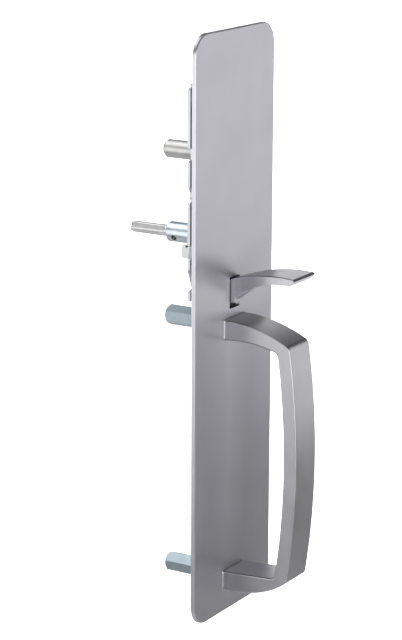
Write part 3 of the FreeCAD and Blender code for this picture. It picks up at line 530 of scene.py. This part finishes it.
def soft_light(name, place, target, size, brightness):
    """A softbox of a size in metres and an even brightness, turned to a target."""
    data = bpy.data.lights.new(name, "AREA")
    data.shape = "RECTANGLE"
    data.size, data.size_y = size
    data.energy = math.pi * size[0] * size[1] * brightness
    light = bpy.data.objects.new(name, data)
    light.location = place
    light.rotation_euler = (Vector(target) - Vector(place)).to_track_quat("-Z", "Y").to_euler()
    light.visible_camera = False
    bpy.context.scene.collection.objects.link(light)
    return light


def floor_light(studio):
    """A long softbox that faces straight down, its length running away from the trim."""
    place = (FLOOR_BOX_X, FLOOR_BOX_Y, FLOOR_BOX_HEIGHT)
    below = (FLOOR_BOX_X, FLOOR_BOX_Y, CAD_BOX[0][2])
    light = soft_light("floor_softbox", place, below, FLOOR_BOX_SIZE, studio.floor_box)
    light.rotation_euler = (0, 0, math.atan2(FLOOR_BOX_Y, FLOOR_BOX_X))
    light.data.spread = math.radians(FLOOR_BOX_SPREAD)


def room_light(studio):
    """An even, nearly white room."""
    world = bpy.data.worlds.new("studio_room")
    world.use_nodes = True
    tree = world.node_tree
    tree.nodes.clear()
    colour = (0.97, 0.975, 1.0, 1.0)
    sky = add(tree, "ShaderNodeBackground", {"Color": colour, "Strength": studio.room})
    add(tree, "ShaderNodeOutputWorld", {"Surface": sky.outputs["Background"]})
    bpy.context.scene.world = world


def floor_sheet(studio):
    """A flat square of background paper under the trim."""
    mesh = bpy.data.meshes.new("studio_floor")
    z = CAD_BOX[0][2] - studio.floor_drop
    half = FLOOR_HALF_WIDTH
    corners = [(x * half, y * half, z) for x, y in ((-1, -1), (1, -1), (1, 1), (-1, 1))]
    mesh.from_pydata(corners, [], [(0, 1, 2, 3)])
    floor = bpy.data.objects.new("studio_floor", mesh)
    floor.data.materials.append(matt_paper(studio))
    bpy.context.scene.collection.objects.link(floor)


def aim_camera(studio):
    """A long lens to the left of the plate, a little above it."""
    azimuth, elevation, roll = (math.radians(angle) for angle in CAMERA_ANGLES)
    back = Vector(
        (
            math.sin(azimuth) * math.cos(elevation),
            -math.cos(azimuth) * math.cos(elevation),
            math.sin(elevation),
        )
    )
    level = Vector((math.cos(azimuth), math.sin(azimuth), 0))
    upright = back.cross(level)
    right = math.cos(roll) * level + math.sin(roll) * upright
    up = math.cos(roll) * upright - math.sin(roll) * level
    data = bpy.data.cameras.new("studio_camera")
    data.lens = studio.lens
    data.sensor_width = SENSOR_WIDTH
    data.clip_start, data.clip_end = CAMERA_CLIP
    camera = bpy.data.objects.new("studio_camera", data)
    turn = Matrix((right, up, back)).transposed().to_4x4()
    camera.matrix_world = Matrix.Translation(CAMERA_PLACE) @ turn
    bpy.context.scene.collection.objects.link(camera)
    bpy.context.scene.camera = camera


class TRIM_OT_stage(bpy.types.Operator):
    """Adds the floor, the light and the camera"""

    bl_idname = "trim.stage"
    bl_label = "Stage"

    def execute(self, context):
        studio = context.scene.trim_studio
        room_light(studio)
        floor_sheet(studio)
        soft_light("right_softbox", (1.35, -1.2, 0.05), (0, 0, 0.05), (1.7, 1.3), studio.right_box)
        soft_light("left_softbox", (-1.2, 1.5, -0.05), PLATE_MIDDLE, (2.4, 1.4), studio.left_box)
        soft_light("side_softbox", (-2.0, -0.35, 0.0), PLATE_MIDDLE, (1.5, 1.3), studio.side_box)
        soft_light("rear_softbox", (2.1, 1.3, 0.75), PLATE_MIDDLE, (1.8, 1.1), studio.rear_box)
        soft_light("front_softbox", (-1.5, -2.15, 0.05), PLATE_MIDDLE, (2.6, 1.7), studio.front_box)
        soft_light("top_softbox", (-0.4, 0.8, 1.7), PLATE_MIDDLE, (1.8, 1.8), studio.top_box)
        floor_light(studio)
        aim_camera(studio)
        context.scene.view_settings.view_transform = "Standard"
        return {"FINISHED"}


OPERATORS = (
    TRIM_OT_plate,
    TRIM_OT_castings,
    TRIM_OT_zinc_pieces,
    TRIM_OT_nickel_pieces,
    TRIM_OT_sheet_pieces,
    TRIM_OT_bracket,
    TRIM_OT_pins,
    TRIM_OT_springs,
    TRIM_OT_bearings,
    TRIM_OT_stage,
)


class TRIM_PT_panel(bpy.types.Panel):
    """Lists the finishes and the stage"""

    bl_idname = "TRIM_PT_panel"
    bl_label = "Exit device trim"
    bl_space_type = "VIEW_3D"
    bl_region_type = "UI"
    bl_category = "Trim"

    def draw(self, context):
        for settings in (context.scene.trim_finishes, context.scene.trim_studio):
            box = self.layout.box()
            for name in settings.bl_rna.properties.keys():
                if name not in ("rna_type", "name"):
                    box.prop(settings, name)
        for operator in OPERATORS:
            self.layout.operator(operator.bl_idname)


CLASSES = (TrimFinishes, TrimStudio) + OPERATORS + (TRIM_PT_panel,)


def register():
    for cls in CLASSES:
        bpy.utils.register_class(cls)
    bpy.types.Scene.trim_finishes = bpy.props.PointerProperty(type=TrimFinishes)
    bpy.types.Scene.trim_studio = bpy.props.PointerProperty(type=TrimStudio)


def unregister():
    del bpy.types.Scene.trim_studio
    del bpy.types.Scene.trim_finishes
    for cls in reversed(CLASSES):
        bpy.utils.unregister_class(cls)


def main():
    register()
    for operator in OPERATORS:
        group, name = operator.bl_idname.split(".")
        getattr(getattr(bpy.ops, group), name)()


if __name__ == "__main__":
    main()
